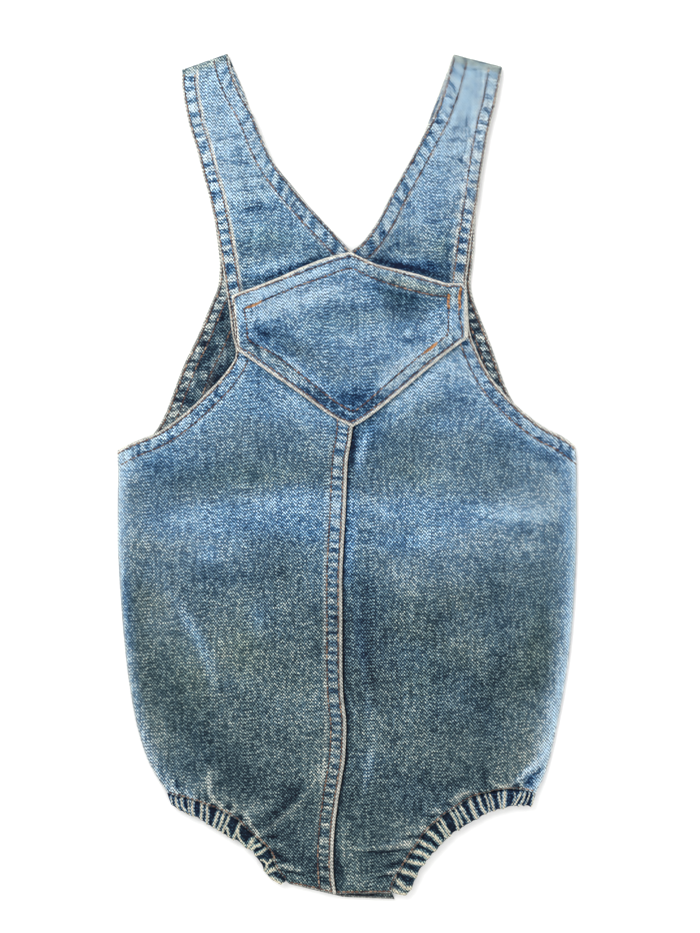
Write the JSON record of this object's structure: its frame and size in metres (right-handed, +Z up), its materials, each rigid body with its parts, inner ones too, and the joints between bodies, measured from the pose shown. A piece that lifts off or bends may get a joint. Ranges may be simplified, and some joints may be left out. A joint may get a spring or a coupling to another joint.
{
  "type": "baby romper",
  "caption": "Sleeveless denim bubble romper for a baby, laid flat: wide cut-in-one straps, V neck, six-sided chest pocket, felled centre seam and gathered leg casings.",
  "frame": {"origin": "middle of the garment's outline, on the surface that it lies on", "axes": "+Y towards the straps, +X to the right of someone looking down on the front, +Z up off the surface"},
  "size_m": [0.253, 0.4658, 0.0095],
  "materials": {
    "denim": "washed mid-blue cotton twill, matt, faded to pale blue and cream at its edges",
    "denim_back": "the same denim; its inner face is darker and shows in the armholes",
    "pocket_denim": "the same denim, bluer, with white worn folded edges",
    "denim_casing": "the same denim gathered on elastic, cream on the ridges and navy in the valleys",
    "thread": "tan cotton topstitching, with orange bar tacks"
  },
  "bodies": {
    "root": {"front_left": "denim", "front_right": "denim", "back": "denim_back", "chest_pocket": "pocket_denim", "leg_casing_front_left": "denim_casing", "leg_casing_front_right": "denim_casing", "leg_casing_back_left": "denim_casing", "leg_casing_back_right": "denim_casing"}
  },
  "joints": []
}
